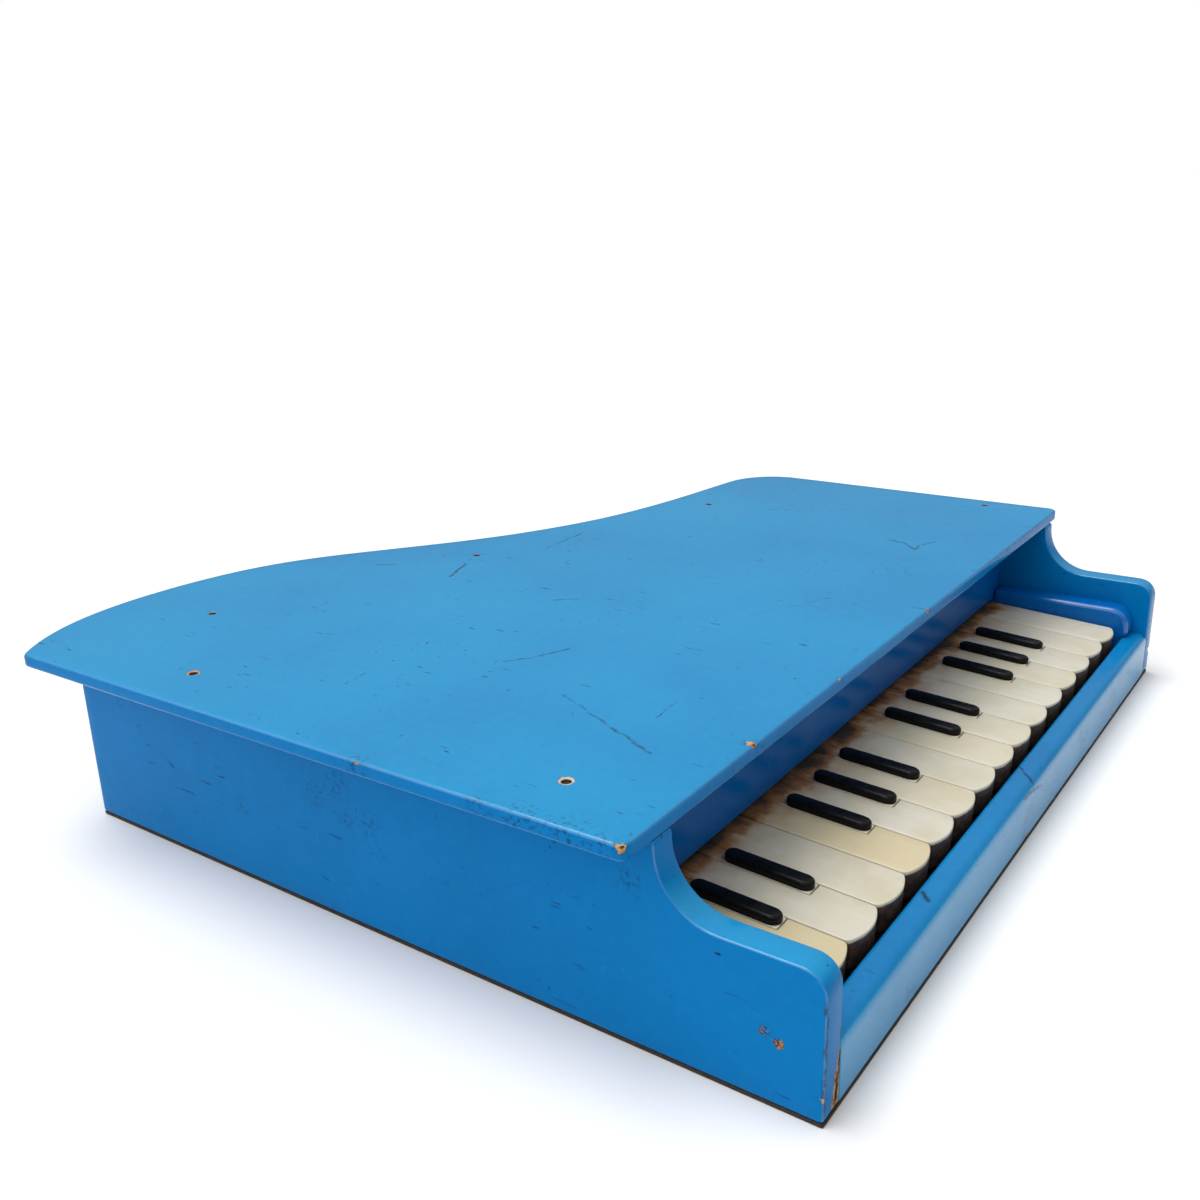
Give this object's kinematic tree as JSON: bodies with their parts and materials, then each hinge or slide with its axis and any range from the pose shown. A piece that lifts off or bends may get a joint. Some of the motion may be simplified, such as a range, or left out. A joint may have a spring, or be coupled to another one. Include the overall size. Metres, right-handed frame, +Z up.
{
  "type": "toy grand piano",
  "caption": "Low blue tabletop toy grand piano with a curved overhanging lid, scooped cheeks and a playable wooden keyboard.",
  "frame": {"origin": "on the surface it stands on, under the middle of the whole object's box", "axes": "+X along the keyboard from bass to treble, +Y from the keyboard towards the tail, +Z up"},
  "size_m": [0.4004, 0.3476, 0.0758],
  "materials": {
    "blue_lacquer": "gloss",
    "key_wood": "satin",
    "stained_wood": "satin",
    "bare_wood": "matte",
    "fibreboard": "matte",
    "black_plastic": "gloss",
    "steel": "dull",
    "bar_metal": "satin",
    "felt": "matte"
  },
  "bodies": {
    "case": {"left_side": "blue_lacquer", "right_side": "blue_lacquer", "front_rail": "blue_lacquer", "left_key_block": "blue_lacquer", "right_key_block": "blue_lacquer", "fallboard": "blue_lacquer", "back_panel": "blue_lacquer", "base_board": "fibreboard", "lid": "blue_lacquer", "corner_blocks": "bare_wood", "pivot_rod": "steel", "key_stop_rail": "bare_wood", "key_stop_felt": "felt", "key_rest_rail": "bare_wood", "key_rest_felt": "felt", "key_guide_pins": "steel", "key_return_springs": "steel", "front_bar_rail": "bare_wood", "rear_bar_rail": "bare_wood", "tone_bars": "bar_metal", "tone_bar_pins": "steel", "tone_bar_felts": "felt", "lid_screws": "steel", "case_nails": "steel", "base_nails": "steel"},
    "white_key_01": {"white_key_01": "key_wood"},
    "white_key_02": {"white_key_02": "key_wood"},
    "white_key_03": {"white_key_03": "key_wood"},
    "white_key_04": {"white_key_04": "key_wood"},
    "white_key_05": {"white_key_05": "key_wood"},
    "white_key_06": {"white_key_06": "key_wood"},
    "white_key_07": {"white_key_07": "key_wood"},
    "white_key_08": {"white_key_08": "key_wood"},
    "white_key_09": {"white_key_09": "key_wood"},
    "white_key_10": {"white_key_10": "key_wood"},
    "white_key_11": {"white_key_11": "key_wood"},
    "white_key_12": {"white_key_12": "key_wood"},
    "white_key_13": {"white_key_13": "key_wood"},
    "white_key_14": {"white_key_14": "key_wood"},
    "white_key_15": {"white_key_15": "key_wood"},
    "black_key_01": {"black_key_01": "stained_wood", "black_cap_01": "black_plastic"},
    "black_key_02": {"black_key_02": "stained_wood", "black_cap_02": "black_plastic"},
    "black_key_03": {"black_key_03": "stained_wood", "black_cap_03": "black_plastic"},
    "black_key_04": {"black_key_04": "stained_wood", "black_cap_04": "black_plastic"},
    "black_key_05": {"black_key_05": "stained_wood", "black_cap_05": "black_plastic"},
    "black_key_06": {"black_key_06": "stained_wood", "black_cap_06": "black_plastic"},
    "black_key_07": {"black_key_07": "stained_wood", "black_cap_07": "black_plastic"},
    "black_key_08": {"black_key_08": "stained_wood", "black_cap_08": "black_plastic"},
    "black_key_09": {"black_key_09": "stained_wood", "black_cap_09": "black_plastic"},
    "black_key_10": {"black_key_10": "stained_wood", "black_cap_10": "black_plastic"}
  },
  "joints": [
    {"name": "white_key_01_press", "type": "hinge", "parent": "case", "child": "white_key_01", "pos_m": [-0.152, -0.07385, 0.0271], "axis": [1, 0, 0], "range_deg": [0, 3.5], "stiffness_Nm_per_rad": 0.1, "springref_deg": -5.73, "deforming": ["key_return_springs"]},
    {"name": "white_key_02_press", "type": "hinge", "parent": "case", "child": "white_key_02", "pos_m": [-0.13, -0.07385, 0.0271], "axis": [1, 0, 0], "range_deg": [0, 3.5], "stiffness_Nm_per_rad": 0.1, "springref_deg": -5.73, "deforming": ["key_return_springs"]},
    {"name": "white_key_03_press", "type": "hinge", "parent": "case", "child": "white_key_03", "pos_m": [-0.1045, -0.07385, 0.0271], "axis": [1, 0, 0], "range_deg": [0, 3.5], "stiffness_Nm_per_rad": 0.1, "springref_deg": -5.73, "deforming": ["key_return_springs"]},
    {"name": "white_key_04_press", "type": "hinge", "parent": "case", "child": "white_key_04", "pos_m": [-0.086, -0.07385, 0.0271], "axis": [1, 0, 0], "range_deg": [0, 3.5], "stiffness_Nm_per_rad": 0.1, "springref_deg": -5.73, "deforming": ["key_return_springs"]},
    {"name": "white_key_05_press", "type": "hinge", "parent": "case", "child": "white_key_05", "pos_m": [-0.064, -0.07385, 0.0271], "axis": [1, 0, 0], "range_deg": [0, 3.5], "stiffness_Nm_per_rad": 0.1, "springref_deg": -5.73, "deforming": ["key_return_springs"]},
    {"name": "white_key_06_press", "type": "hinge", "parent": "case", "child": "white_key_06", "pos_m": [-0.042, -0.07385, 0.0271], "axis": [1, 0, 0], "range_deg": [0, 3.5], "stiffness_Nm_per_rad": 0.1, "springref_deg": -5.73, "deforming": ["key_return_springs"]},
    {"name": "white_key_07_press", "type": "hinge", "parent": "case", "child": "white_key_07", "pos_m": [-0.0165, -0.07385, 0.0271], "axis": [1, 0, 0], "range_deg": [0, 3.5], "stiffness_Nm_per_rad": 0.1, "springref_deg": -5.73, "deforming": ["key_return_springs"]},
    {"name": "white_key_08_press", "type": "hinge", "parent": "case", "child": "white_key_08", "pos_m": [0.002, -0.07385, 0.0271], "axis": [1, 0, 0], "range_deg": [0, 3.5], "stiffness_Nm_per_rad": 0.1, "springref_deg": -5.73, "deforming": ["key_return_springs"]},
    {"name": "white_key_09_press", "type": "hinge", "parent": "case", "child": "white_key_09", "pos_m": [0.024, -0.07385, 0.0271], "axis": [1, 0, 0], "range_deg": [0, 3.5], "stiffness_Nm_per_rad": 0.1, "springref_deg": -5.73, "deforming": ["key_return_springs"]},
    {"name": "white_key_10_press", "type": "hinge", "parent": "case", "child": "white_key_10", "pos_m": [0.0495, -0.07385, 0.0271], "axis": [1, 0, 0], "range_deg": [0, 3.5], "stiffness_Nm_per_rad": 0.1, "springref_deg": -5.73, "deforming": ["key_return_springs"]},
    {"name": "white_key_11_press", "type": "hinge", "parent": "case", "child": "white_key_11", "pos_m": [0.068, -0.07385, 0.0271], "axis": [1, 0, 0], "range_deg": [0, 3.5], "stiffness_Nm_per_rad": 0.1, "springref_deg": -5.73, "deforming": ["key_return_springs"]},
    {"name": "white_key_12_press", "type": "hinge", "parent": "case", "child": "white_key_12", "pos_m": [0.09, -0.07385, 0.0271], "axis": [1, 0, 0], "range_deg": [0, 3.5], "stiffness_Nm_per_rad": 0.1, "springref_deg": -5.73, "deforming": ["key_return_springs"]},
    {"name": "white_key_13_press", "type": "hinge", "parent": "case", "child": "white_key_13", "pos_m": [0.112, -0.07385, 0.0271], "axis": [1, 0, 0], "range_deg": [0, 3.5], "stiffness_Nm_per_rad": 0.1, "springref_deg": -5.73, "deforming": ["key_return_springs"]},
    {"name": "white_key_14_press", "type": "hinge", "parent": "case", "child": "white_key_14", "pos_m": [0.1375, -0.07385, 0.0271], "axis": [1, 0, 0], "range_deg": [0, 3.5], "stiffness_Nm_per_rad": 0.1, "springref_deg": -5.73, "deforming": ["key_return_springs"]},
    {"name": "white_key_15_press", "type": "hinge", "parent": "case", "child": "white_key_15", "pos_m": [0.1595, -0.07385, 0.0271], "axis": [1, 0, 0], "range_deg": [0, 3.5], "stiffness_Nm_per_rad": 0.1, "springref_deg": -5.73, "deforming": ["key_return_springs"]},
    {"name": "black_key_01_press", "type": "hinge", "parent": "case", "child": "black_key_01", "pos_m": [-0.1412, -0.07385, 0.0271], "axis": [1, 0, 0], "range_deg": [0, 3.5], "stiffness_Nm_per_rad": 0.1, "springref_deg": -5.73, "deforming": ["key_return_springs"]},
    {"name": "black_key_02_press", "type": "hinge", "parent": "case", "child": "black_key_02", "pos_m": [-0.1192, -0.07385, 0.0271], "axis": [1, 0, 0], "range_deg": [0, 3.5], "stiffness_Nm_per_rad": 0.1, "springref_deg": -5.73, "deforming": ["key_return_springs"]},
    {"name": "black_key_03_press", "type": "hinge", "parent": "case", "child": "black_key_03", "pos_m": [-0.0752, -0.07385, 0.0271], "axis": [1, 0, 0], "range_deg": [0, 3.5], "stiffness_Nm_per_rad": 0.1, "springref_deg": -5.73, "deforming": ["key_return_springs"]},
    {"name": "black_key_04_press", "type": "hinge", "parent": "case", "child": "black_key_04", "pos_m": [-0.0532, -0.07385, 0.0271], "axis": [1, 0, 0], "range_deg": [0, 3.5], "stiffness_Nm_per_rad": 0.1, "springref_deg": -5.73, "deforming": ["key_return_springs"]},
    {"name": "black_key_05_press", "type": "hinge", "parent": "case", "child": "black_key_05", "pos_m": [-0.0312, -0.07385, 0.0271], "axis": [1, 0, 0], "range_deg": [0, 3.5], "stiffness_Nm_per_rad": 0.1, "springref_deg": -5.73, "deforming": ["key_return_springs"]},
    {"name": "black_key_06_press", "type": "hinge", "parent": "case", "child": "black_key_06", "pos_m": [0.0128, -0.07385, 0.0271], "axis": [1, 0, 0], "range_deg": [0, 3.5], "stiffness_Nm_per_rad": 0.1, "springref_deg": -5.73, "deforming": ["key_return_springs"]},
    {"name": "black_key_07_press", "type": "hinge", "parent": "case", "child": "black_key_07", "pos_m": [0.0348, -0.07385, 0.0271], "axis": [1, 0, 0], "range_deg": [0, 3.5], "stiffness_Nm_per_rad": 0.1, "springref_deg": -5.73, "deforming": ["key_return_springs"]},
    {"name": "black_key_08_press", "type": "hinge", "parent": "case", "child": "black_key_08", "pos_m": [0.0788, -0.07385, 0.0271], "axis": [1, 0, 0], "range_deg": [0, 3.5], "stiffness_Nm_per_rad": 0.1, "springref_deg": -5.73, "deforming": ["key_return_springs"]},
    {"name": "black_key_09_press", "type": "hinge", "parent": "case", "child": "black_key_09", "pos_m": [0.1008, -0.07385, 0.0271], "axis": [1, 0, 0], "range_deg": [0, 3.5], "stiffness_Nm_per_rad": 0.1, "springref_deg": -5.73, "deforming": ["key_return_springs"]},
    {"name": "black_key_10_press", "type": "hinge", "parent": "case", "child": "black_key_10", "pos_m": [0.1228, -0.07385, 0.0271], "axis": [1, 0, 0], "range_deg": [0, 3.5], "stiffness_Nm_per_rad": 0.1, "springref_deg": -5.73, "deforming": ["key_return_springs"]}
  ]
}
